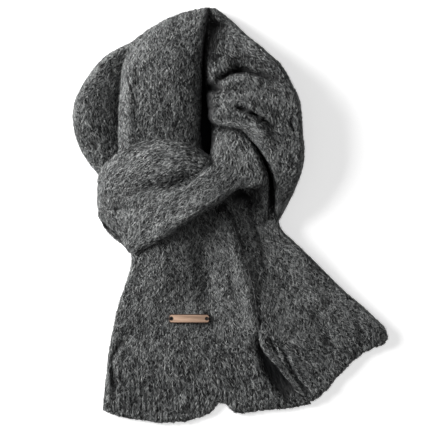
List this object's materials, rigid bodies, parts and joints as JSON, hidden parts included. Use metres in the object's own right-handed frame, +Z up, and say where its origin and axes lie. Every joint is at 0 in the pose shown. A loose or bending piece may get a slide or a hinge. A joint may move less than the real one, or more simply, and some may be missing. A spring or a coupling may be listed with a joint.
{
  "type": "knit scarf",
  "caption": "Long brushed knit scarf laid flat, doubled round into a collar and tied with its ribbed tails through the bight, with a small wooden tag.",
  "frame": {"origin": "centre of the bounding box's bottom, on the surface that the scarf lies on", "axes": "+Y from the ribbed tail ends towards the doubled collar, +X to the right of someone looking down on the scarf with its tails nearest, +Z up from the surface"},
  "size_m": [0.378, 0.5003, 0.0561],
  "materials": {
    "brushed_knit": "brushed heather knit, matt",
    "inner_knit": "brushed heather knit, matt, in shade",
    "tag_wood": "sanded, matt",
    "tag_thread": "matt"
  },
  "bodies": {
    "root": {"neck_left_under": "brushed_knit", "neck_left_over": "brushed_knit", "neck_right_outer": "brushed_knit", "wrap_front": "brushed_knit", "wrap_upper": "brushed_knit", "wrap_turn": "brushed_knit", "tail_front": "brushed_knit", "tail_back": "brushed_knit", "hidden_layers": "inner_knit", "tag": "tag_wood", "tag_thread_left": "tag_thread", "tag_thread_right": "tag_thread"}
  },
  "joints": []
}
